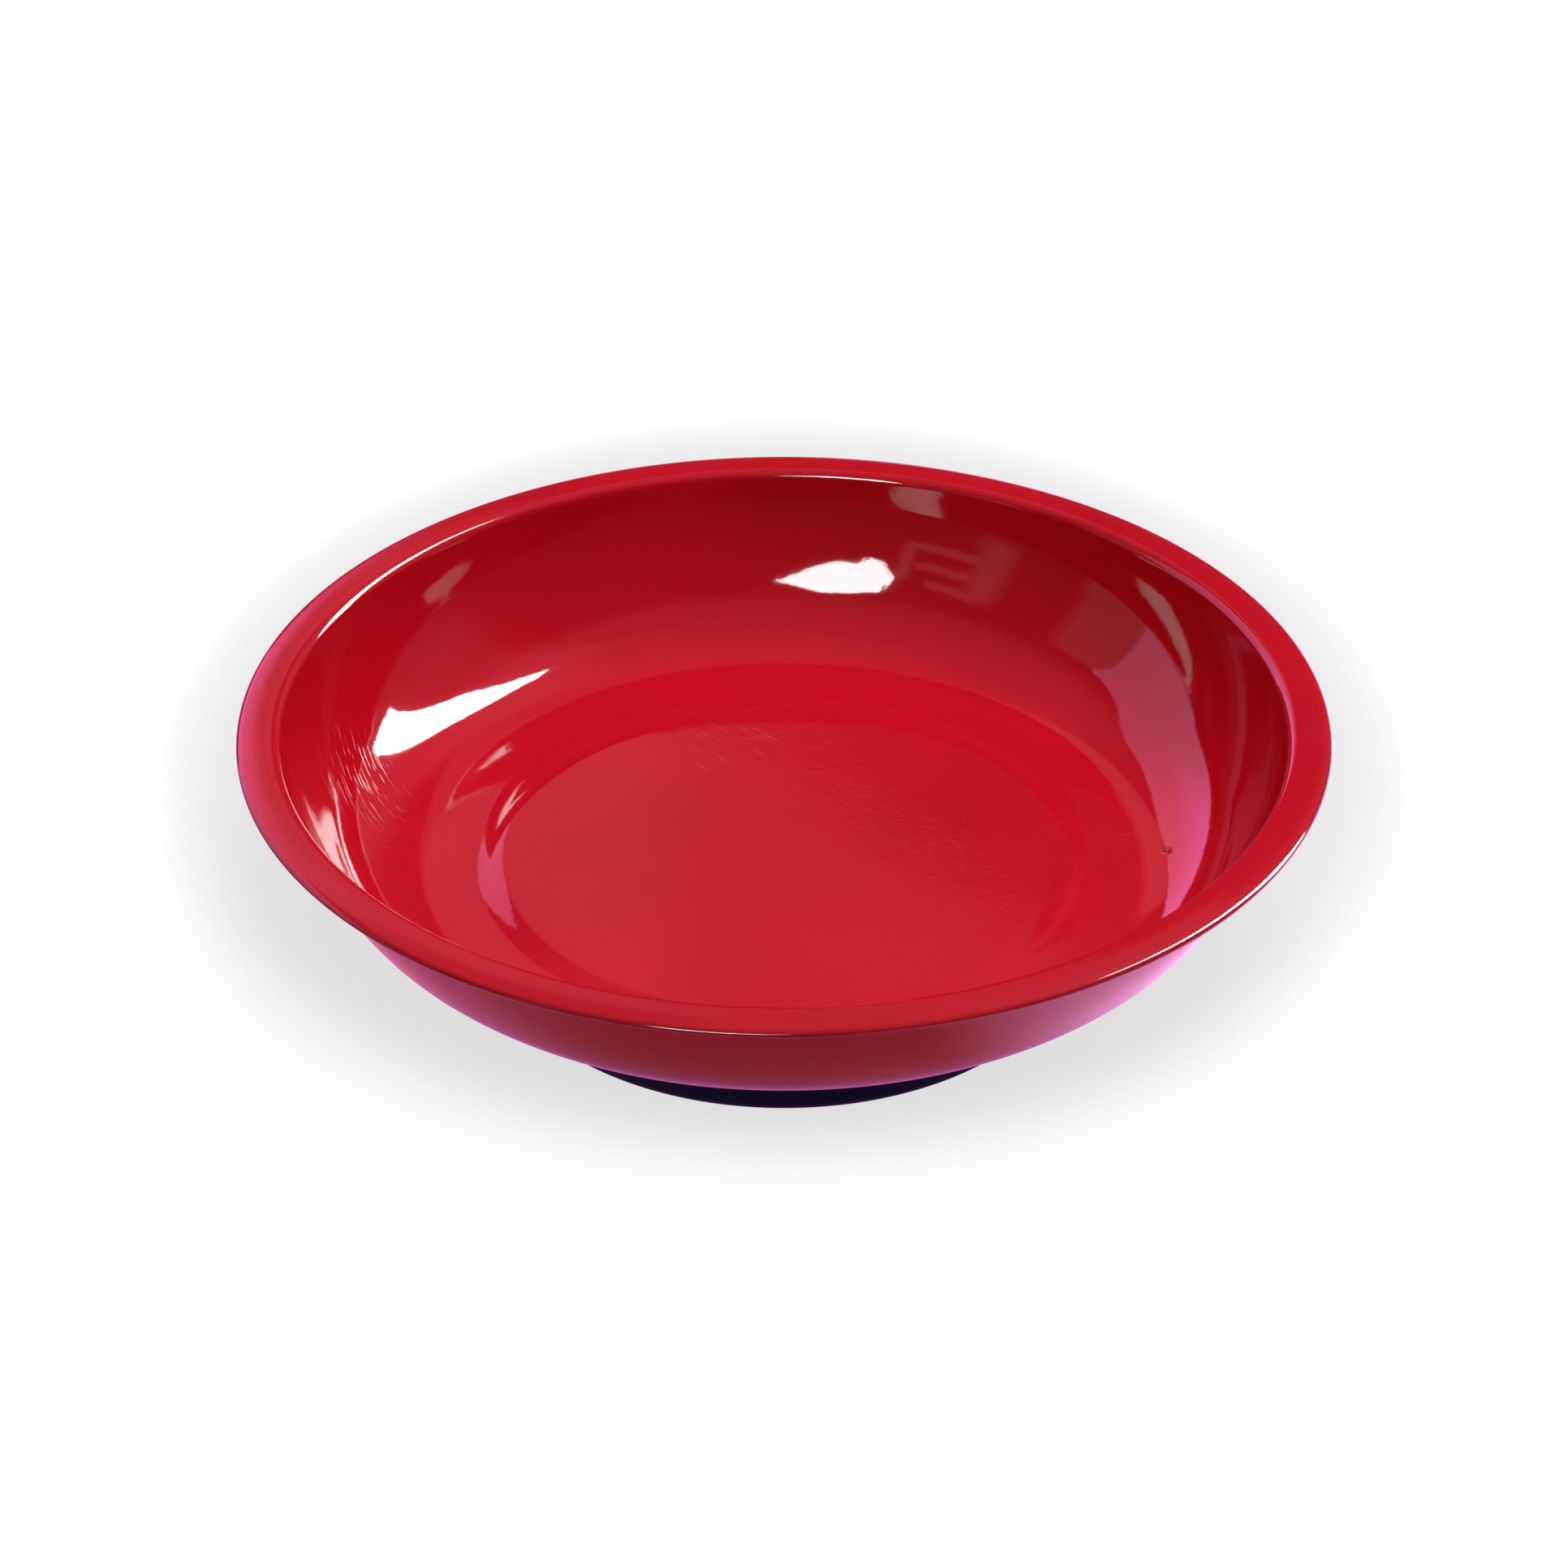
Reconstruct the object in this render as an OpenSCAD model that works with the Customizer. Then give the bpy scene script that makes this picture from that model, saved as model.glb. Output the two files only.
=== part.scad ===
// Round magnetic parts tray: a pressed steel dish on a rubber-covered ring magnet.
// The origin is the middle of the underside, and +Z points up out of the dish.

/* [Dish] */
// Diameter over the rim's outer edge
rim_d = 150; // [138:1:190]
// Depth from the top of the rim to the sunk floor ring
dish_depth = 22.8; // [17:0.1:28]
// Thickness of the sheet
sheet_t = 0.8; // [0.5:0.05:1.2]
// Width of the flat part of the rim's ledge
ledge_flat = 2; // [0.5:0.1:6]
// Radius that turns the ledge's outer part down
roll_r = 4; // [2:0.5:12]
// Angle through which the ledge's outer part turns down
roll_turn = 40; // [10:1:60]
// Radius of the bend from the ledge into the wall
lip_r = 1.4; // [1.3:0.1:4]
// Length of the straight stretch at the top of the wall
wall_straight = 2; // [0.5:0.5:10]
// Radius of the wall's curve
wall_r = 38; // [28:0.1:60]
// Radius between the wall and the floor ring
foot_r = 16; // [4:0.1:20]
// Width of the flat floor ring between the wall's foot and the raised centre
floor_w = 5.4; // [2:0.1:12]

/* [Raised centre] */
// Height of the raised centre over the floor ring
step_h = 0.9; // [0.5:0.1:3]
// Width of the S-shaped step round the raised centre
step_w = 6.4; // [2.5:0.1:10]
// Room between the boot's flat top and the start of the step
pocket_clear = 0.4; // [0.3:0.1:3]

/* [Magnet] */
// Outer diameter of the ring magnet
magnet_d = 76; // [60:1:88]
// Height of the ring magnet
magnet_h = 10; // [5:0.5:15]
// Bore of the ring magnet
magnet_bore = 32; // [20:1:50]
// Chamfer on the ring magnet's edges
magnet_chamfer = 0.8; // [0.3:0.1:2]
// Thickness of the steel back plate
plate_t = 1.5; // [0.8:0.1:3]
// Distance that the back plate's edge stays inside the magnet's
plate_inset = 1; // [0.5:0.1:4]
// Bore of the back plate
plate_bore = 24; // [10:1:50]
// Chamfer on the back plate's edges
plate_chamfer = 0.3; // [0.1:0.05:0.35]
// Thickness of the bond pad, and of the boot's hook beside it
pad_t = 0.8; // [0.4:0.1:1.6]
// Distance that the bond pad stays back from the magnet's bore
pad_setback = 2; // [0.5:0.1:6]
// Room between the bond pad and the boot's hook
pad_gap = 0.5; // [0.2:0.1:3]

/* [Boot] */
// Thickness of the boot's side
boot_wall = 2.4; // [1.5:0.1:4]
// Thickness of the boot's base
boot_base = 2; // [1.6:0.1:4]
// Room between the magnet and the boot's side
boot_fit = 0.3; // [0.1:0.05:0.8]
// Reach of the boot's hook over the magnet's top
boot_hook = 4; // [2:0.5:10]
// Radius of the boot's bottom edge
boot_edge_r = 1.5; // [0.5:0.1:2]
// Radius of the boot's top edge
boot_top_r = 3.5; // [0.5:0.1:4]

/* [Hidden] */
$fn = 128;
// Largest gap between a rounded outline and the straight pieces that draw it
chord_gap = 0.01;
// Largest part of the room between the floor and the lip that the foot's radius takes
foot_share = 0.85;

// Heights of the stack, from the underside up
plate_z = boot_base;
magnet_z = plate_z + plate_t;
pad_z = magnet_z + magnet_h;
stack_h = pad_z + pad_t;
plateau_z = stack_h + sheet_t;
floor_z = plateau_z - step_h;
rim_z = floor_z + dish_depth;

// Radii of the boot round the magnet, and of the pocket over the boot
magnet_r = magnet_d / 2;
cavity_r = magnet_r + boot_fit;
boot_r = cavity_r + boot_wall;
hook_r = magnet_r - boot_hook;
plateau_r = boot_r - boot_top_r + pocket_clear;

// The step is two equal arcs, one curving down and one curving back level
step_r = (step_w * step_w + step_h * step_h) / (4 * step_h);
step_turn = 2 * atan(step_h / step_w);
step_top_c = [plateau_r, plateau_z - step_r];
step_foot_c = [plateau_r + step_w, floor_z + step_r];

// The rim's ledge and its bend, from the outer edge inward
edge_r = sheet_t / 2;
roll_c = [rim_d / 2 - edge_r - (roll_r - edge_r) * sin(roll_turn), rim_z - roll_r];
edge_c = roll_c + (roll_r - edge_r) * ray(90 - roll_turn);
lip_c = [roll_c[0] - ledge_flat, rim_z - lip_r];

// The wall curves out of the foot, touching it from inside, and meets the lip in a straight stretch
foot_x = plateau_r + step_w + floor_w;
wall_reach = norm([wall_r + lip_r, wall_straight]);
foot_bend = min(foot_r, foot_share * foot_room(lip_c - [foot_x, floor_z], wall_reach - wall_r));
foot_c = [foot_x, floor_z + foot_bend];
wall_c = corner(foot_c, wall_r - foot_bend, lip_c, wall_reach);
foot_end = aim(wall_c, foot_c);
wall_end = aim(wall_c, lip_c) - atan2(wall_straight, wall_r + lip_r);
lip_end = wall_end + 180;

paint_red = [0.74, 0.13, 0.18];
rubber_black = [0.06, 0.06, 0.08];
ferrite_grey = [0.24, 0.24, 0.26];
steel_grey = [0.70, 0.71, 0.73];
bond_cream = [0.86, 0.82, 0.68];

// Unit vector at an angle
function ray(angle) = [cos(angle), sin(angle)];

// Angle of the line from one point to another
function aim(start, end) = atan2(end[1] - start[1], end[0] - start[0]);

// Third corner of a triangle, left of the line from a to b, from its distances to both
function corner(a, from_a, b, from_b) =
    let (
        span = norm(b - a),
        unit = (b - a) / span,
        along = (span * span + from_a * from_a - from_b * from_b) / (2 * span),
        across = sqrt(from_a * from_a - along * along)
    )
    a + along * unit + across * [-unit[1], unit[0]];

// Radius of a foot that starts level and reaches a bend at an offset by itself, with no wall between
function foot_room(offset, gap) = (offset * offset - gap * gap) / (2 * (offset[1] + gap));

// Straight pieces that an arc takes to stay within the chord gap
function pieces(radius, sweep) =
    max(2, ceil(abs(sweep) / (2 * acos(1 - chord_gap / radius))));

// Points along an arc, without its first
function arc(centre, radius, from, to) =
    let (count = pieces(radius, to - from))
    [for (i = [1:count]) centre + radius * ray(from + (to - from) * i / count)];

function reversed(points) = [for (i = [len(points) - 1:-1:0]) points[i]];

// Line of the sheet from the middle to the rim, at a depth below its upper face
function sheet_line(below) = concat(
    [[0, plateau_z - below], [plateau_r, plateau_z - below]],
    arc(step_top_c, step_r - below, 90, 90 - step_turn),
    arc(step_foot_c, step_r + below, 270 - step_turn, 270),
    [[foot_c[0], floor_z - below]],
    arc(foot_c, foot_bend + below, -90, foot_end),
    arc(wall_c, wall_r + below, foot_end, wall_end),
    [lip_c + (lip_r - below) * ray(lip_end)],
    arc(lip_c, lip_r - below, lip_end, 90),
    [[roll_c[0], rim_z - below]],
    arc(roll_c, roll_r - below, 90, 90 - roll_turn)
);

// Rounded outer edge of the rim, without its ends, which the two lines hold
function rim_edge() =
    let (edge = arc(edge_c, edge_r, 90 - roll_turn, -90 - roll_turn))
    [for (i = [0:len(edge) - 2]) edge[i]];

// Flat ring with chamfered edges, standing on a height
module flat_ring(outer_r, inner_r, z, h, chamfer) {
    rotate_extrude()
        polygon([
            [inner_r, z + chamfer],
            [inner_r + chamfer, z],
            [outer_r - chamfer, z],
            [outer_r, z + chamfer],
            [outer_r, z + h - chamfer],
            [outer_r - chamfer, z + h],
            [inner_r + chamfer, z + h],
            [inner_r, z + h - chamfer]
        ]);
}

// Sheet of one thickness, pressed to the revolved line
module dish() {
    color(paint_red)
        rotate_extrude()
            polygon(concat(sheet_line(0), rim_edge(), reversed(sheet_line(sheet_t))));
}

// Adhesive ring that holds the magnet under the raised centre
module bond_pad() {
    color(bond_cream)
        translate([0, 0, pad_z])
            linear_extrude(pad_t)
                difference() {
                    circle(r = hook_r - pad_gap);
                    circle(r = magnet_bore / 2 + pad_setback);
                }
}

module ring_magnet() {
    color(ferrite_grey)
        flat_ring(magnet_r, magnet_bore / 2, magnet_z, magnet_h, magnet_chamfer);
}

module back_plate() {
    color(steel_grey)
        flat_ring(magnet_r - plate_inset, plate_bore / 2, plate_z, plate_t, plate_chamfer);
}

// Cup round the magnet, hooked in over its top edge
module rubber_boot() {
    color(rubber_black)
        rotate_extrude()
            polygon(concat(
                [[0, 0], [boot_r - boot_edge_r, 0]],
                arc([boot_r - boot_edge_r, boot_edge_r], boot_edge_r, -90, 0),
                [[boot_r, stack_h - boot_top_r]],
                arc([boot_r - boot_top_r, stack_h - boot_top_r], boot_top_r, 0, 90),
                [
                    [hook_r, stack_h],
                    [hook_r, pad_z],
                    [cavity_r, pad_z],
                    [cavity_r, boot_base],
                    [0, boot_base]
                ]
            ));
}

dish();
bond_pad();
ring_magnet();
back_plate();
rubber_boot();
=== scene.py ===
import math

import bpy
from bpy.props import FloatProperty, FloatVectorProperty, PointerProperty
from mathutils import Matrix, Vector


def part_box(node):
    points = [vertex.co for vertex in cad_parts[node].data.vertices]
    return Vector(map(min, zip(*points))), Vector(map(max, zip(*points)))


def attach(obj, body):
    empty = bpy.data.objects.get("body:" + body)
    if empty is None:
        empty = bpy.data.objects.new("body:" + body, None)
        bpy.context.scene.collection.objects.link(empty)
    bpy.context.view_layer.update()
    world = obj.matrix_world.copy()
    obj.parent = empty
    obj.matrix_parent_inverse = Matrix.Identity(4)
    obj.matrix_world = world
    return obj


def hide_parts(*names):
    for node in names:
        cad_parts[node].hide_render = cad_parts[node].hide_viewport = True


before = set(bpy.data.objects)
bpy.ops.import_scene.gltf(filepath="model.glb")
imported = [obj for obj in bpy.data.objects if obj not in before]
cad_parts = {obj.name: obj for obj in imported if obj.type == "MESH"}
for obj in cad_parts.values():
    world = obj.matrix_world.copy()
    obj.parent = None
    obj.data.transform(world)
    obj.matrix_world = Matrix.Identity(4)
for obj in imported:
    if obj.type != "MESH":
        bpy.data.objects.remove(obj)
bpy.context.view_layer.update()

bl_info = {
    "name": "Magnetic Parts Tray",
    "version": (1, 0, 0),
    "blender": (4, 5, 0),
    "location": "3D View > Sidebar > Tray",
    "description": "Painted dish, rubber boot and magnet of a round parts tray, with a studio",
    "category": "Object",
}

DISH_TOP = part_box("dish")[1]
BOOT_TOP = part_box("rubber_boot")[1]
MAGNET_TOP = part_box("ring_magnet")[1]
PLATE_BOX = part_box("back_plate")

# Corners of the cards that show in the paint, as azimuth and elevation in degrees
KEY = (
    (177.8, 37.4), (186.5, 31.3), (193, 27.6), (197.7, 28), (201.2, 24.6), (204.3, 25.8),
    (208, 31.2), (207.6, 34.2), (205.5, 38.9), (191, 43), (183.9, 39.5),
)
STRIP = (
    (55.4, 15.1), (63.5, 13.2), (67.7, 13), (68.6, 26.5), (69.7, 33.5), (72.8, 43.2),
    (70.3, 52.8), (72.7, 59.7), (63.7, 59.4), (52.8, 53.7), (50.3, 47.8), (50.1, 40.7),
    (50.3, 34.2), (53.4, 19.1),
)
WINDOW = (
    (-88, -1), (-88, 35), (-76, 38), (-66, 41), (-52, 44.5), (-40, 44.5), (-30, 41), (-20, 37.5),
    (-13, 34.5), (-12, 17), (-20, 13.5), (-30, 11.5), (-40, 9), (-42, -1),
)

# Light of the cards, in red, green and blue
KEY_TONE = (24, 24, 24)
STRIP_TONE = (38, 38, 39)
WINDOW_TONE = (2.0, 0.76, 1.35)
WINDOW_LOW_TONE = (3.4, 0.95, 2.4)

# Distances of the cards and the lamps from the tray, in metres
CARD_DISTANCE = 6
LAMP_DISTANCE = 1.5

# Pieces round a turn of the spun bodies
DISH_STEPS = 256
BOOT_STEPS = 192

# Radii of the grip grooves' middles in the boot's underside
GROOVES = (0.0135, 0.0205, 0.0275, 0.0345)


def length(name, description, default):
    return FloatProperty(name=name, description=description, default=default, min=0, unit="LENGTH")


def colour(name, description, default):
    return FloatVectorProperty(
        name=name, description=description, default=default, min=0, max=1, subtype="COLOR"
    )


class DishSizes(bpy.types.PropertyGroup):
    """Sizes and colour of the pressed dish"""

    rim_radius: length("Rim radius", "Radius over the rim's outer edge", DISH_TOP.x)
    rim_height: length("Rim height", "Height of the rim's ledge", DISH_TOP.z)
    sheet: length("Sheet", "Thickness of the sheet", 0.0008)
    ledge_flat: length("Ledge flat", "Width of the ledge's flat part", 0.001353)
    roll_radius: length("Roll radius", "Radius that turns the ledge's outer part down", 0.009)
    roll_turn: FloatProperty(
        name="Roll turn",
        description="Angle through which the ledge's outer part turns down",
        default=math.radians(18),
        subtype="ANGLE",
    )
    brim_radius: length("Brim radius", "Tighter radius that turns the rim's edge down", 0.0011)
    brim_turn: FloatProperty(
        name="Brim turn",
        description="Angle by which the rim's edge points down",
        default=math.radians(48),
        subtype="ANGLE",
    )
    lip_radius: length("Lip radius", "Radius of the bend from the ledge into the wall", 0.0014)
    wall_straight: length("Wall straight", "Straight stretch at the top of the wall", 0.002)
    wall_radius: length("Wall radius", "Radius of the wall's curve", 0.038)
    foot_radius: length("Foot radius", "Radius between the wall and the floor ring", 0.016)
    floor_width: length("Floor width", "Width of the flat floor ring", 0.0054)
    floor_height: length("Floor height", "Height of the floor ring's upper face", 0.0142)
    step_height: length("Step height", "Height of the raised centre over the floor ring", 0.0009)
    step_width: length("Step width", "Width of the step round the raised centre", 0.0064)
    centre_radius: length("Centre radius", "Radius of the raised centre's flat top", 0.0376)
    paint: colour("Paint", "Colour of the gloss paint", (0.60, 0.004, 0.015))


class BootSizes(bpy.types.PropertyGroup):
    """Sizes and colour of the rubber boot"""

    radius: length("Radius", "Radius of the boot", BOOT_TOP.x)
    height: length("Height", "Height of the boot", BOOT_TOP.z)
    base: length("Base", "Thickness of the boot's base", PLATE_BOX[0].z)
    side: length("Side", "Thickness of the boot's side", 0.0024)
    hook_radius: length("Hook radius", "Inner radius of the hook over the magnet", 0.034)
    hook: length("Hook", "Thickness of the hook", BOOT_TOP.z - MAGNET_TOP.z)
    edge: length("Edge", "Radius of the bottom edge", 0.0015)
    shoulder: length("Shoulder", "Radius of the top edge", 0.0035)
    groove: length("Groove", "Depth of the grip grooves in the underside", 0.0004)
    rubber: colour("Rubber", "Colour of the rubber", (0.0060, 0.0065, 0.0135))


class MagnetColours(bpy.types.PropertyGroup):
    """Colours of the pieces inside the boot"""

    ferrite: colour("Ferrite", "Colour of the magnet", (0.045, 0.044, 0.047))
    steel: colour("Steel", "Colour of the back plate", (0.56, 0.57, 0.59))
    bond: colour("Bond", "Colour of the bond pad", (0.71, 0.64, 0.42))


class StudioSizes(bpy.types.PropertyGroup):
    """Camera, floor and light of the studio"""

    camera_distance: length("Camera distance", "Distance from the camera to the tray", 0.9)
    camera_height: FloatProperty(
        name="Camera elevation",
        description="Angle of the camera above the floor",
        default=math.radians(33.715),
        subtype="ANGLE",
    )
    aim: FloatVectorProperty(
        name="Aim",
        description="Point at which the camera aims",
        default=(0, 0, 0.0267),
        subtype="TRANSLATION",
        unit="LENGTH",
    )
    lens: FloatProperty(name="Lens", description="Focal length", default=147.33, unit="CAMERA")
    floor_size: length("Floor size", "Side of the floor", 14.0)
    floor_colour: colour("Floor colour", "Colour of the floor", (0.60, 0.60, 0.60))
    floor_glow: FloatProperty(
        name="Floor glow",
        description="Share of the floor's white that needs no light",
        default=0.8,
        min=0,
        max=1,
        subtype="FACTOR",
    )


class Wire:
    """Output socket of a node, on which arithmetic adds Math nodes."""

    def __init__(self, nodes, socket):
        self.nodes = nodes
        self.socket = socket

    def math(self, operation, *values):
        return self.nodes.add("ShaderNodeMath", {"operation": operation}, dict(enumerate(values)))

    def __add__(self, other):
        return self.math("ADD", self, other)

    def __sub__(self, other):
        return self.math("SUBTRACT", self, other)

    def __mul__(self, other):
        return self.math("MULTIPLY", self, other)

    def __truediv__(self, other):
        return self.math("DIVIDE", self, other)

    def __rsub__(self, other):
        return self.math("SUBTRACT", other, self)

    def __rtruediv__(self, other):
        return self.math("DIVIDE", other, self)

    def __pow__(self, other):
        return self.math("POWER", self, other)

    def __neg__(self):
        return self.math("MULTIPLY", self, -1)

    __radd__ = __add__
    __rmul__ = __mul__

    def most(self, other):
        return self.math("MAXIMUM", self, other)

    def ramp(self, low, high):
        """0 below low and 1 above high, or the other way round, with a smooth passage between."""
        return self.nodes.add(
            "ShaderNodeMapRange",
            {"interpolation_type": "SMOOTHSTEP"},
            {"Value": self, "From Min": low, "From Max": high},
        )


class Nodes:
    """Node tree to which nodes are added one call at a time."""

    def __init__(self, tree):
        self.tree = tree
        tree.nodes.clear()

    def add(self, kind, settings=None, sockets=None, output=0):
        node = self.tree.nodes.new(kind)
        for name, value in (settings or {}).items():
            setattr(node, name, value)
        for name, value in (sockets or {}).items():
            if isinstance(value, Wire):
                self.tree.links.new(value.socket, node.inputs[name])
            else:
                node.inputs[name].default_value = value
        return Wire(self, node.outputs[output] if node.outputs else None)

    def place(self):
        """Position on the piece, in metres, and its three parts."""
        spot = self.add("ShaderNodeTexCoord", output="Object")
        parts = self.add("ShaderNodeSeparateXYZ", sockets={"Vector": spot})
        across, depth, height = (Wire(self, s) for s in parts.socket.node.outputs)
        return spot, across, depth, height

    def noise(self, spot, scale, detail, roughness=0.5):
        return self.add(
            "ShaderNodeTexNoise",
            sockets={
                "Vector": spot,
                "Scale": scale,
                "Detail": detail,
                "Roughness": roughness,
                "Distortion": 0.0,
            },
        )

    def turned(self, spot, turn, scale):
        return self.add(
            "ShaderNodeMapping",
            sockets={"Vector": spot, "Rotation": turn, "Scale": scale},
        )

    def hairlines(self, spot, along, across, along_scale, across_scale):
        """Fine lines that run along one direction on the surface."""
        dot = {"operation": "DOT_PRODUCT"}
        run = self.add("ShaderNodeVectorMath", dot, {0: spot, 1: along}, "Value")
        gap = self.add("ShaderNodeVectorMath", dot, {0: spot, 1: across}, "Value")
        grid = self.add(
            "ShaderNodeCombineXYZ", sockets={"X": along_scale * run, "Y": across_scale * gap}
        )
        return self.noise(grid, 1, 1, 0.4).ramp(0.62, 0.70)

    def near(self, spot, centre, inner, outer):
        """1 within the inner distance of a point, falling to 0 at the outer."""
        gap = self.add(
            "ShaderNodeVectorMath", {"operation": "DISTANCE"}, {0: spot, 1: centre}, "Value"
        )
        return gap.ramp(outer, inner)

    def blend(self, share, first, second):
        return self.add(
            "ShaderNodeMix",
            {"data_type": "RGBA"},
            {"Factor": share, 6: first, 7: second},
            2,
        )

    def bump(self, height):
        """Normal from a height in metres."""
        return self.add(
            "ShaderNodeBump", sockets={"Height": height, "Strength": 1.0, "Distance": 1.0}
        )

    def surface(self, **sockets):
        shader = self.add("ShaderNodeBsdfPrincipled", sockets=sockets)
        self.add("ShaderNodeOutputMaterial", sockets={"Surface": shader})


def finish_named(name):
    material = bpy.data.materials.new(name)
    material.use_nodes = True
    return material, Nodes(material.node_tree)


def rgba(rgb, gain=1.0):
    return (rgb[0] * gain, rgb[1] * gain, rgb[2] * gain, 1.0)


def gloss_paint(sizes):
    """Red gloss paint with orange peel, fine scuffs, one chip and painted shade at the rim's edge.
    """
    material, n = finish_named("gloss_paint")
    spot, across, depth, _ = n.place()
    radius = (across * across + depth * depth) ** 0.5

    broad = n.noise(spot, 28, 2)
    peel = n.noise(spot, 850, 2, 0.55)
    sway = n.noise(spot, 70, 1)

    # Hairlines on the wall and on the raised centre, where parts have slid
    wall_lines = n.hairlines(spot, (0.37, -0.69, -0.62), (0.54, 0.70, -0.46), 230, 3400)
    wall_rub = n.near(spot, (-0.0596, 0.0125, 0.0195), 0.004, 0.011)
    flat_lines = n.hairlines(spot, (0.70, -0.71, 0), (0.71, 0.70, 0), 150, 1700)
    flat_rub = n.near(spot, (-0.0080, 0.0295, 0.0151), 0.004, 0.013)
    faint_lines = n.hairlines(spot, (0.95, 0.3, 0), (-0.3, 0.95, 0.2), 90, 2000)
    faint_rub = n.noise(spot, 45, 3).ramp(0.58, 0.72)
    scuff = (wall_lines * wall_rub).most(0.2 * flat_lines * flat_rub)
    scuff = scuff.most(0.12 * faint_lines * faint_rub)

    # Chip at the foot of the wall, in two spots with a raised ring of paint
    chip = n.near(spot, (0.0530, 0.0017, 0.0146), 0.0001, 0.0004)
    chip = chip.most(n.near(spot, (0.0537, 0.0014, 0.0148), 0.0001, 0.0005))
    chip_ring = n.near(spot, (0.0534, 0.0015, 0.0147), 0.0005, 0.0011) - chip

    # The ledge is duller where it has been rubbed, most on the left
    rim = sizes.rim_radius
    ledge = radius.ramp(0.0706, 0.0716) * radius.ramp(rim - 0.0006, rim - 0.0010)
    rubbed = ledge * (0.04 + 0.20 * across.ramp(-0.035, -0.060))

    # Painted shade: the paint's colour is darkened in the last part of a millimetre round the
    # rim's cut edge, where shade falls
    edge = radius.ramp(rim - 0.0007, rim - 0.0001)

    tint = n.blend(broad.ramp(0.3, 0.7), rgba(sizes.paint, 0.95), rgba(sizes.paint, 1.05))
    # Painted shade darkens the colour round the rim's edge
    tint = n.blend(0.35 * edge, tint, rgba(sizes.paint, 0.45))
    tint = n.blend(0.55 * scuff, tint, (0.78, 0.20, 0.23, 1))
    tint = n.blend(chip, tint, (0.10, 0.012, 0.016, 1))

    shine = 0.04 + 0.02 * broad + rubbed + 0.3 * scuff + 0.4 * chip
    relief = 7.0e-6 * peel + 1.6e-5 * sway - 5.0e-6 * scuff
    relief = relief - 9.0e-5 * chip + 2.5e-5 * chip_ring
    n.surface(
        **{
            "Base Color": tint,
            "Roughness": shine,
            "IOR": 1.5,
            "Normal": n.bump(relief),
        }
    )
    return material


def boot_rubber(sizes):
    """Black moulded rubber with a fine grain and a trace of dust."""
    material, n = finish_named("boot_rubber")
    spot, _, _, height = n.place()
    grain = n.noise(spot, 2400, 2, 0.6)
    mottle = n.noise(spot, 160, 3)
    flow = n.noise(n.turned(spot, (0, 0, 0), (60, 60, 900)), 1, 2)
    low = height.ramp(0.0035, 0.0)
    dust = mottle.ramp(0.5, 0.75) * (0.25 + 0.75 * low)
    tint = n.blend(mottle.ramp(0.3, 0.7), rgba(sizes.rubber, 0.8), rgba(sizes.rubber, 1.25))
    tint = n.blend(0.06 * dust, tint, (0.20, 0.19, 0.19, 1))
    n.surface(
        **{
            "Base Color": tint,
            "Roughness": 0.5 + 0.12 * grain + 0.12 * dust,
            "IOR": 1.5,
            "Specular IOR Level": 0.3,
            "Specular Tint": (0.15, 0.5, 1.0, 1),
            "Normal": n.bump(7.0e-6 * grain + 1.0e-5 * mottle + 4.0e-6 * flow),
        }
    )
    return material


def ferrite(sizes):
    """Sintered ferrite: dark grey, speckled, with fine grinding marks."""
    material, n = finish_named("ferrite")
    spot = n.place()[0]
    speck = n.noise(spot, 3200, 3, 0.7)
    cloud = n.noise(spot, 140, 3)
    marks = n.noise(n.turned(spot, (0, 0, 0.4), (2600, 60, 60)), 1, 2)
    tint = n.blend(cloud.ramp(0.3, 0.7), rgba(sizes.ferrite, 0.75), rgba(sizes.ferrite, 1.3))
    tint = n.blend(0.5 * speck.ramp(0.62, 0.78), tint, (0.14, 0.14, 0.145, 1))
    n.surface(
        **{
            "Base Color": tint,
            "Roughness": 0.48 + 0.2 * speck - 0.1 * marks.ramp(0.5, 0.7),
            "IOR": 1.6,
            "Normal": n.bump(1.2e-5 * speck + 6.0e-6 * marks),
        }
    )
    return material


def plated_steel(sizes):
    """Zinc-plated steel plate with turning marks and a faint straw tint."""
    material, n = finish_named("plated_steel")
    spot, across, depth, _ = n.place()
    radius = (across * across + depth * depth) ** 0.5
    cloud = n.noise(spot, 90, 3)
    turning = n.add(
        "ShaderNodeTexNoise", {"noise_dimensions": "1D"}, {"W": radius, "Scale": 4200, "Detail": 2}
    )
    stain = n.noise(spot, 300, 4).ramp(0.55, 0.75)
    tint = n.blend(cloud, rgba(sizes.steel), (0.60, 0.57, 0.48, 1))
    tint = n.blend(0.35 * stain, tint, (0.36, 0.35, 0.34, 1))
    n.surface(
        **{
            "Base Color": tint,
            "Metallic": 1.0,
            "Roughness": 0.26 + 0.14 * turning + 0.2 * stain,
            "Normal": n.bump(4.0e-6 * turning + 3.0e-6 * cloud),
        }
    )
    return material


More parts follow.
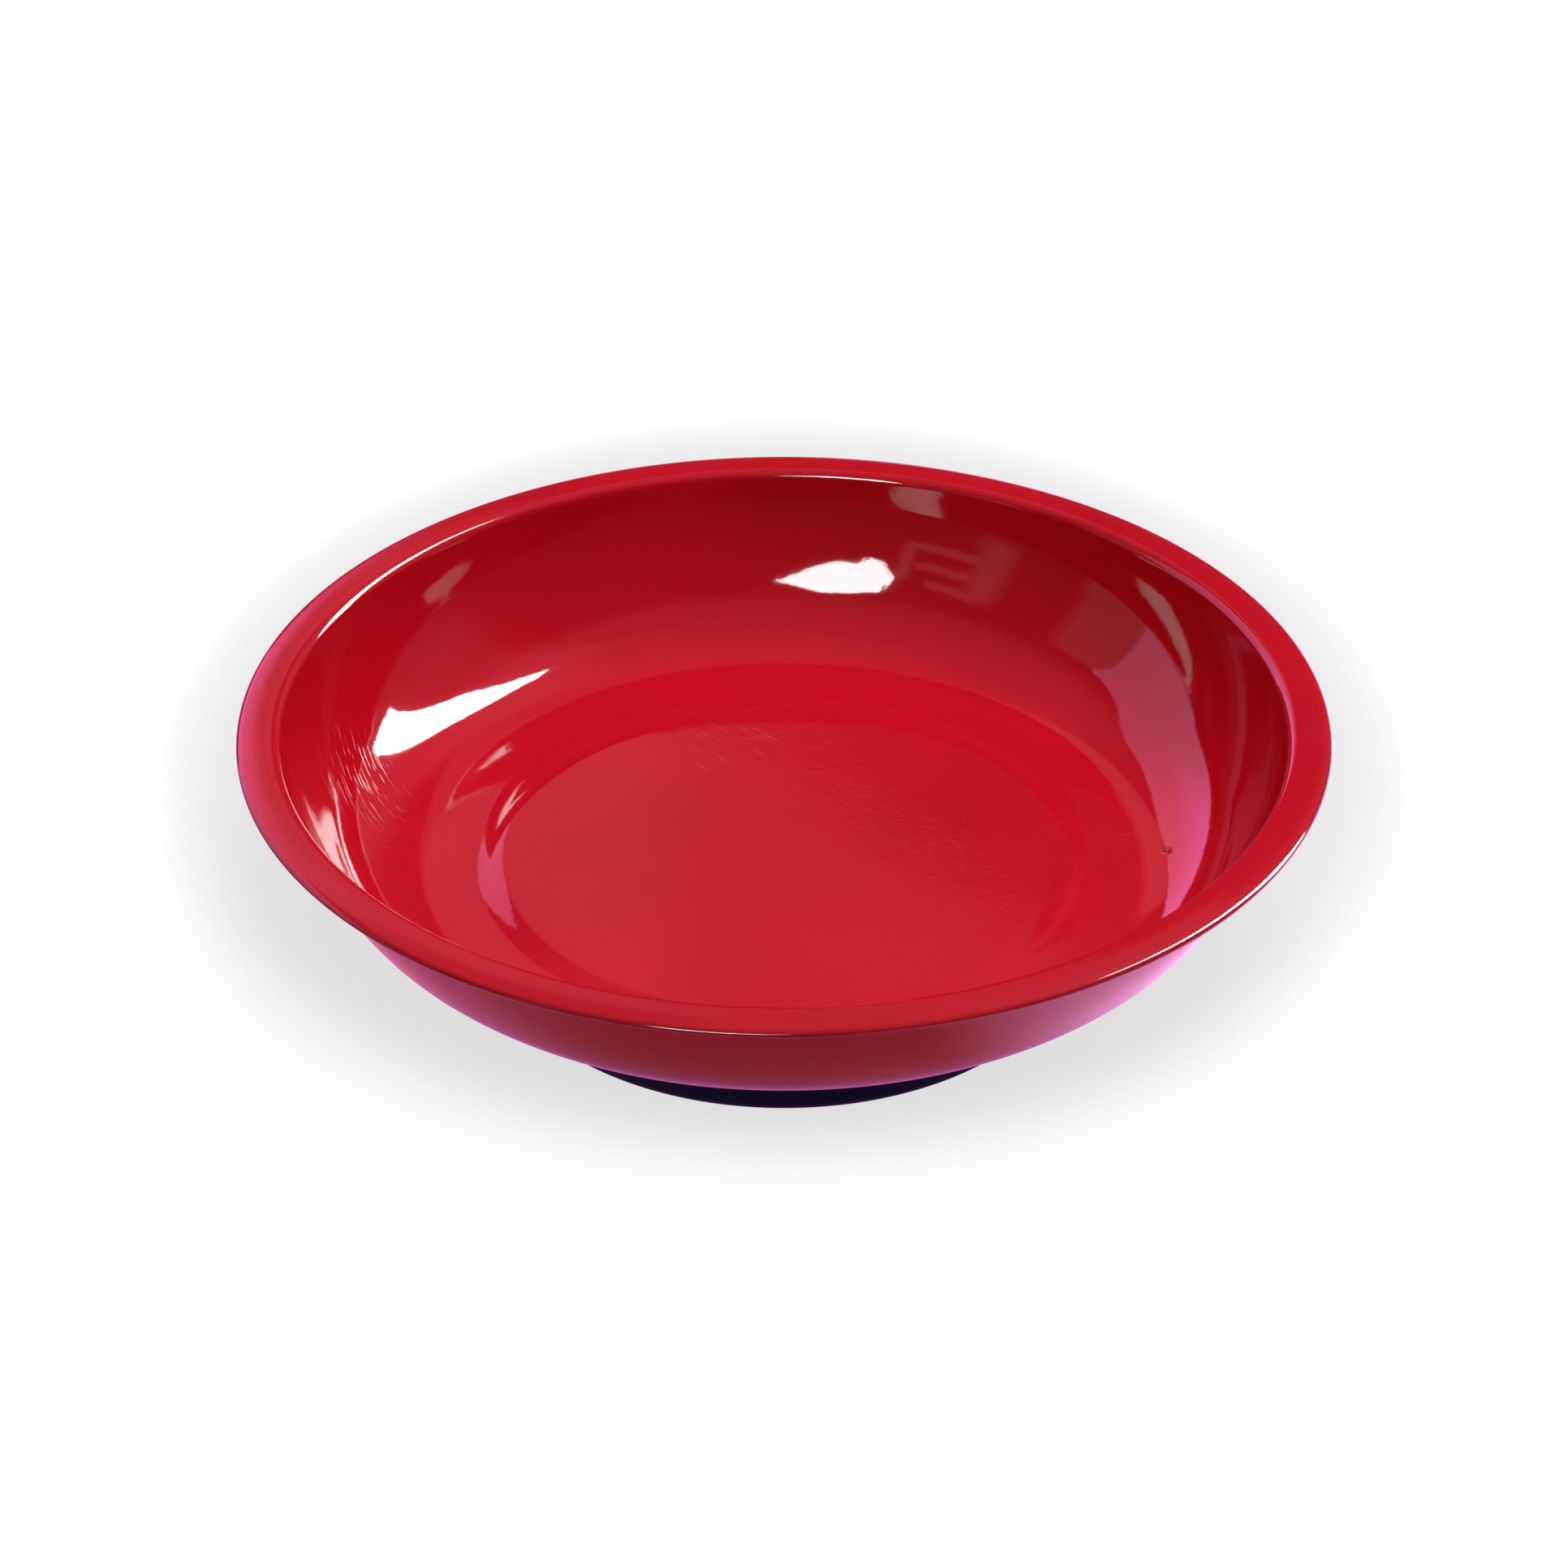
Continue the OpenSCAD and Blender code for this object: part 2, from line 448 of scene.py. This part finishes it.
def bond_foam(sizes):
    """Cream adhesive with small bubbles and a waxy, uneven tone."""
    material, n = finish_named("bond_foam")
    spot = n.place()[0]
    cloud = n.noise(spot, 110, 3)
    bubbles = n.add(
        "ShaderNodeTexVoronoi", {"feature": "F1"}, {"Vector": spot, "Scale": 900}, "Distance"
    )
    pits = bubbles.ramp(0.32, 0.12)
    tint = n.blend(cloud.ramp(0.3, 0.7), rgba(sizes.bond, 0.86), rgba(sizes.bond, 1.08))
    # Painted shade: the bubble pits are darker in colour as well as sunk by the bump
    tint = n.blend(0.3 * pits, tint, (0.42, 0.35, 0.20, 1))
    n.surface(
        **{
            "Base Color": tint,
            "Roughness": 0.62 + 0.2 * cloud,
            "IOR": 1.47,
            "Normal": n.bump(2.0e-5 * cloud - 3.0e-5 * pits),
        }
    )
    return material


def ray(angle):
    return Vector((math.cos(angle), math.sin(angle)))


def arc(centre, radius, start, end, count):
    """Points along an arc, without its first."""
    turn = (end - start) / count
    return [centre + radius * ray(start + turn * i) for i in range(1, count + 1)]


def aim(start, end):
    step = end - start
    return math.atan2(step.y, step.x)


def corner(a, from_a, b, from_b):
    """Third corner of a triangle, left of the line from a to b, from its distances to both."""
    span = (b - a).length
    unit = (b - a) / span
    along = (span**2 + from_a**2 - from_b**2) / (2 * span)
    across = math.sqrt(from_a**2 - along**2)
    return a + along * unit + across * Vector((-unit.y, unit.x))


def dish_profile(s):
    """Outline of the sheet's half section: upper face outward, rim edge, lower face back."""
    quarter = math.pi / 2
    guard = 0.0004
    centre_z = s.floor_height + s.step_height
    step_r = (s.step_width**2 + s.step_height**2) / (4 * s.step_height)
    step_turn = 2 * math.atan(s.step_height / s.step_width)
    step_top = Vector((s.centre_radius, centre_z - step_r))
    step_foot = Vector((s.centre_radius + s.step_width, s.floor_height + step_r))
    edge_r = s.sheet / 2
    roll_end, brim_end = quarter - s.roll_turn, quarter - s.brim_turn
    to_brim = (s.roll_radius - s.brim_radius) * ray(roll_end)
    to_edge = (s.brim_radius - edge_r) * ray(brim_end)
    roll = Vector((s.rim_radius - edge_r - to_edge.x - to_brim.x, s.rim_height - s.roll_radius))
    brim = roll + to_brim
    edge = brim + to_edge
    lip = Vector((roll.x - s.ledge_flat, s.rim_height - s.lip_radius))
    foot = Vector((step_foot.x + s.floor_width, s.floor_height + s.foot_radius))
    reach = math.hypot(s.wall_radius + s.lip_radius, s.wall_straight)
    wall = corner(foot, s.wall_radius - s.foot_radius, lip, reach)
    foot_end = aim(wall, foot)
    wall_end = aim(wall, lip) - math.atan2(s.wall_straight, s.wall_radius + s.lip_radius)
    lip_end = wall_end + math.pi

    def face(below):
        top, floor, ledge = centre_z - below, s.floor_height - below, s.rim_height - below
        lip_start = lip + (s.lip_radius - below) * ray(lip_end)
        wall_line = arc(wall, s.wall_radius + below, foot_end, wall_end, 24)
        return [
            Vector((0, top)),
            Vector((s.centre_radius - guard, top)),
            Vector((s.centre_radius, top)),
            *arc(step_top, step_r - below, quarter, quarter - step_turn, 12),
            *arc(step_foot, step_r + below, 3 * quarter - step_turn, 3 * quarter, 12),
            Vector((step_foot.x + guard, floor)),
            Vector((foot.x - guard, floor)),
            Vector((foot.x, floor)),
            *arc(foot, s.foot_radius + below, -quarter, foot_end, 24),
            *wall_line,
            wall_line[-1].lerp(lip_start, 0.1),
            wall_line[-1].lerp(lip_start, 0.9),
            lip_start,
            *arc(lip, s.lip_radius - below, lip_end, quarter, 18),
            Vector((lip.x + guard / 2, ledge)),
            Vector((roll.x - guard / 2, ledge)),
            Vector((roll.x, ledge)),
            *arc(roll, s.roll_radius - below, quarter, roll_end, 12),
            *arc(brim, s.brim_radius - below, roll_end, brim_end, 12),
        ]

    rounding = arc(edge, edge_r, brim_end, brim_end - math.pi, 8)[:-1]
    return [*face(0), *rounding, *reversed(face(s.sheet))]


def boot_profile(s):
    """Outline of the boot's half section, from the middle underneath round to its inner base."""
    quarter = math.pi / 2
    cavity = s.radius - s.side
    under = [Vector((0, s.groove)), Vector((0.0020, s.groove)), Vector((0.0026, 0))]
    for middle in GROOVES:
        under += [
            Vector((middle - 0.0010, 0)),
            Vector((middle - 0.0006, s.groove)),
            Vector((middle + 0.0006, s.groove)),
            Vector((middle + 0.0010, 0)),
        ]
    seam = s.height * 0.62
    return [
        *under,
        Vector((s.radius - s.edge, 0)),
        *arc(Vector((s.radius - s.edge, s.edge)), s.edge, -quarter, 0, 8),
        Vector((s.radius, seam - 0.0002)),
        Vector((s.radius - 0.0001, seam - 0.0001)),
        Vector((s.radius - 0.0001, seam + 0.0001)),
        Vector((s.radius, seam + 0.0002)),
        Vector((s.radius, s.height - s.shoulder)),
        *arc(Vector((s.radius - s.shoulder, s.height - s.shoulder)), s.shoulder, 0, quarter, 8),
        Vector((s.hook_radius, s.height)),
        Vector((s.hook_radius, s.height - s.hook)),
        Vector((cavity, s.height - s.hook)),
        Vector((cavity, s.base)),
        Vector((0, s.base)),
    ]


def drawn(name, points):
    """New object in edit mode that holds one line, drawn from point to point."""
    bpy.ops.object.select_all(action="DESELECT")
    bpy.ops.mesh.primitive_plane_add(size=0.001)
    piece = bpy.context.object
    piece.name = name
    piece.data.name = name
    bpy.ops.object.mode_set(mode="EDIT")
    bpy.ops.mesh.select_all(action="SELECT")
    bpy.ops.mesh.merge(type="CENTER")
    bpy.ops.transform.translate(value=points[0])
    for start, end in zip(points, points[1:]):
        bpy.ops.mesh.extrude_region_move(TRANSFORM_OT_translate={"value": end - start})
    bpy.ops.mesh.select_all(action="SELECT")
    return piece


def spun(name, profile, steps):
    """Closed body of revolution: the profile is drawn, then spun about the axis."""
    piece = drawn(name, [Vector((point.x, 0, point.y)) for point in profile])
    bpy.ops.mesh.spin(steps=steps, angle=math.tau, center=(0, 0, 0), axis=(0, 0, 1))
    bpy.ops.mesh.select_all(action="SELECT")
    bpy.ops.mesh.remove_doubles(threshold=0.000002)
    bpy.ops.mesh.normals_make_consistent(inside=False)
    bpy.ops.object.mode_set(mode="OBJECT")
    return piece


def dress(piece, material, node):
    """Gives a new piece its material and lets it stand for a node."""
    piece.data.materials.clear()
    piece.data.materials.append(material)
    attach(piece, "root")
    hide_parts(node)


class TRAY_OT_dish(bpy.types.Operator):
    """Spin the painted sheet-steel dish"""

    bl_idname = "tray.dish"
    bl_label = "Painted Dish"

    def execute(self, context):
        sizes = context.scene.tray_dish
        piece = spun("painted_dish", dish_profile(sizes), DISH_STEPS)
        bpy.ops.object.shade_smooth()
        dress(piece, gloss_paint(sizes), "dish")
        return {"FINISHED"}


class TRAY_OT_boot(bpy.types.Operator):
    """Spin the rubber boot with its grip grooves"""

    bl_idname = "tray.boot"
    bl_label = "Rubber Boot"

    def execute(self, context):
        sizes = context.scene.tray_boot
        piece = spun("moulded_boot", boot_profile(sizes), BOOT_STEPS)
        bpy.ops.object.shade_smooth_by_angle(angle=math.radians(35))
        dress(piece, boot_rubber(sizes), "rubber_boot")
        return {"FINISHED"}


class TRAY_OT_magnet(bpy.types.Operator):
    """Finish the magnet, the back plate and the bond pad inside the boot"""

    bl_idname = "tray.magnet"
    bl_label = "Magnet Pieces"

    def execute(self, context):
        colours = context.scene.tray_magnet
        finishes = {
            "ring_magnet": ferrite(colours),
            "back_plate": plated_steel(colours),
            "bond_pad": bond_foam(colours),
        }
        for name, material in finishes.items():
            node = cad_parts[name]
            for slot in node.material_slots:
                slot.material = material
        return {"FINISHED"}


def toward(azimuth, elevation):
    """Unit vector to a direction: azimuth 0 is behind the tray, 90 to its right."""
    a, e = math.radians(azimuth), math.radians(elevation)
    return Vector((math.sin(a) * math.cos(e), math.cos(a) * math.cos(e), math.sin(e)))


def facing(place, target):
    """Rotation that looks from a place to a target."""
    return (target - place).to_track_quat("-Z", "Y").to_euler()


def softbox(name, azimuth, elevation, size, radiance):
    """Area lamp of an even radiance that faces the tray; its size is a share of its distance."""
    place = LAMP_DISTANCE * toward(azimuth, elevation)
    turn = facing(place, Vector((0, 0, 0.02)))
    bpy.ops.object.light_add(type="AREA", location=place, rotation=turn)
    lamp = bpy.context.object
    lamp.name = name
    light = lamp.data
    light.name = name
    light.shape = "RECTANGLE"
    light.size, light.size_y = size[0] * LAMP_DISTANCE, size[1] * LAMP_DISTANCE
    light.energy = radiance * math.pi * light.size * light.size_y
    return lamp


def card(name, outline, tone, low_tone):
    """Glowing card, far off, that shows only in gloss; its corners are azimuths and elevations."""
    piece = drawn(name, [CARD_DISTANCE * toward(*direction) for direction in outline])
    bpy.ops.mesh.edge_face_add()
    bpy.ops.object.mode_set(mode="OBJECT")
    material, n = finish_named(name)
    _, across, _, height = n.place()
    low = height.ramp(3.2, 1.7) * across.ramp(-4.6, -2.8)
    light = n.blend(low, rgba(tone), rgba(low_tone))
    glow = n.add("ShaderNodeEmission", sockets={"Color": light})
    n.add("ShaderNodeOutputMaterial", sockets={"Surface": glow})
    piece.data.materials.append(material)
    piece.visible_camera = False
    piece.visible_diffuse = False
    piece.visible_shadow = False


def floor_finish(sizes):
    """Pale floor whose white is mostly glow, with a painted shadow round the tray; gloss shows it
    violet, with painted light and shade.
    """
    material, n = finish_named("studio_floor")
    _, across, depth, _ = n.place()
    path = n.add("ShaderNodeLightPath").socket.node.outputs
    mirrored = Wire(n, path["Is Glossy Ray"]).most(Wire(n, path["Is Transmission Ray"]))
    seen = mirrored.most(sizes.floor_glow * Wire(n, path["Is Camera Ray"]))

    # What the gloss shows is painted light and shade: plain in the middle, painted light to the
    # right and left, a painted shadow by the boot
    radius = (across * across + depth * depth) ** 0.5
    gloss_floor_painted_light = n.blend(across.ramp(0.024, 0.060), (0.58, 0.145, 0.25, 1), (1.95, 0.85, 1.65, 1))
    gloss_floor_painted_light = n.blend(across.ramp(-0.025, -0.065), gloss_floor_painted_light, (1.0, 0.25, 0.56, 1))
    gloss_floor_painted_light = n.blend(0.6 * radius.ramp(0.064, 0.048), gloss_floor_painted_light, (0.60, 0.18, 0.62, 1))

    # What the camera sees: white with a painted shadow that greys it toward the tray's outline, an
    # oval on the floor
    around = ((across / 0.081) ** 2 + ((depth - 0.0505) / 0.090) ** 2) ** 0.5
    floor_white_painted_shadow = n.blend(around.ramp(0.97, 1.25), (0.90, 0.90, 0.90, 1), (1.25, 1.25, 1.25, 1))
    matt = n.add("ShaderNodeBsdfDiffuse", sockets={"Color": rgba(sizes.floor_colour)})
    glow = n.add("ShaderNodeEmission", sockets={"Color": n.blend(mirrored, floor_white_painted_shadow, gloss_floor_painted_light)})
    mixed = n.add("ShaderNodeMixShader", sockets={0: seen, 1: matt, 2: glow})
    n.add("ShaderNodeOutputMaterial", sockets={"Surface": mixed})
    return material


def dim_room():
    """Surroundings: dark walls, paler parts and shelves on the left, a lighter ceiling."""
    world = bpy.data.worlds.new("dim_room")
    world.use_nodes = True
    n = Nodes(world.node_tree)
    spot = n.add("ShaderNodeTexCoord", output="Generated")
    parts = n.add("ShaderNodeSeparateXYZ", sockets={"Vector": spot}).socket.node.outputs
    across, depth, height = (Wire(n, s) for s in parts)
    degree = 180 / math.pi
    azimuth = degree * across.math("ARCTAN2", across, depth)
    elevation = degree * height.math("ARCSINE", height)

    def zone(left, right, low, high, soft=1.5):
        """1 between two azimuths and two elevations, with soft sides."""
        sides = azimuth.ramp(left - soft, left + soft) * azimuth.ramp(right + soft, right - soft)
        ends = elevation.ramp(low - soft, low + soft) * elevation.ramp(high + soft, high - soft)
        return sides * ends

    ceiling = 0.15 * elevation.ramp(37, 52)
    round_strip = 0.20 * zone(26, 100, 8, 64, 9)

    # Veil that a slanting line ends on its right
    slant = azimuth - 1.75 * elevation + 55.9
    veil = slant.ramp(0.8, -0.8) * azimuth.ramp(-14, -12)
    veil = veil * elevation.ramp(22, 28) * elevation.ramp(50, 42)
    veil = veil * (0.15 + 0.09 * azimuth.ramp(-0.7, -1.7))

    beside_window = 0.24 * zone(-105, -87, -5, 34, 2) + 0.10 * zone(-108, -104, -5, 30)

    # Three boards, an upright at their left end and a wider one at their right
    shelves = zone(-151, -128, 14, 17, 1)
    shelves = shelves.most(zone(-148, -132, 22, 25, 1)).most(zone(-144, -130, 29, 32, 1))
    shelves = shelves.most(zone(-152, -149, 15, 30, 1)).most(0.9 * zone(-134, -126, 5, 31, 3))

    shade = 0.055 + ceiling + round_strip + veil + beside_window + 0.36 * shelves
    path = n.add("ShaderNodeLightPath").socket.node.outputs
    tint = n.blend(Wire(n, path["Is Glossy Ray"]), (0.6, 0.58, 0.63, 1), (2.2, 0.94, 1.15, 1))
    room = n.blend(shade, (0, 0, 0, 1), tint)
    tone = n.blend(Wire(n, path["Is Camera Ray"]), room, (1, 1, 1, 1))
    sky = n.add("ShaderNodeBackground", sockets={"Color": tone, "Strength": 1.0})
    n.add("ShaderNodeOutputWorld", sockets={"Surface": sky})
    return world


class TRAY_OT_studio(bpy.types.Operator):
    """Set the camera, the floor, the lamps and the surroundings"""

    bl_idname = "tray.studio"
    bl_label = "Studio"

    def execute(self, context):
        sizes = context.scene.tray_studio
        scene = context.scene
        scene.view_settings.view_transform = "Standard"

        back = Vector((0, -math.cos(sizes.camera_height), math.sin(sizes.camera_height)))
        place = sizes.camera_distance * back
        bpy.ops.object.select_all(action="DESELECT")
        bpy.ops.object.camera_add(location=place, rotation=facing(place, Vector(sizes.aim)))
        camera = context.object
        camera.name = "photo_camera"
        camera.data.lens = sizes.lens
        camera.data.sensor_width = 36
        camera.data.clip_start, camera.data.clip_end = 0.01, 60
        scene.camera = camera

        bpy.ops.object.select_all(action="DESELECT")
        bpy.ops.mesh.primitive_plane_add(size=sizes.floor_size)
        floor = context.object
        floor.name = "studio_floor"
        floor.data.materials.append(floor_finish(sizes))

        scene.world = dim_room()

        # Cards that show in the paint
        card("key", KEY, KEY_TONE, KEY_TONE)
        card("strip", STRIP, STRIP_TONE, STRIP_TONE)
        card("window", WINDOW, WINDOW_TONE, WINDOW_LOW_TONE)

        # Lamps that shade the form and don't show in gloss
        lamps = (
            softbox("overhead", 45, 72, (0.8, 0.8), 4.6),
            softbox("front", -166, 38, (0.46, 0.31), 0.6),
            softbox("side", 75, 35, (0.4, 0.5), 0.8),
        )
        for lamp in lamps:
            lamp.visible_glossy = False
        return {"FINISHED"}


class TRAY_PT_parts(bpy.types.Panel):
    """Pieces of the tray"""

    bl_idname = "TRAY_PT_parts"
    bl_label = "Magnetic Parts Tray"
    bl_space_type = "VIEW_3D"
    bl_region_type = "UI"
    bl_category = "Tray"

    def draw(self, context):
        for kind in OPERATORS:
            self.layout.operator(kind.bl_idname)


GROUPS = {
    "tray_dish": DishSizes,
    "tray_boot": BootSizes,
    "tray_magnet": MagnetColours,
    "tray_studio": StudioSizes,
}
OPERATORS = (TRAY_OT_studio, TRAY_OT_dish, TRAY_OT_boot, TRAY_OT_magnet)


def register():
    for kind in (*GROUPS.values(), *OPERATORS, TRAY_PT_parts):
        bpy.utils.register_class(kind)
    for name, kind in GROUPS.items():
        setattr(bpy.types.Scene, name, PointerProperty(type=kind))


def unregister():
    for name in GROUPS:
        delattr(bpy.types.Scene, name)
    for kind in reversed((*GROUPS.values(), *OPERATORS, TRAY_PT_parts)):
        bpy.utils.unregister_class(kind)


def main():
    register()
    bpy.ops.tray.studio()
    bpy.ops.tray.dish()
    bpy.ops.tray.boot()
    bpy.ops.tray.magnet()


if __name__ == "__main__":
    main()
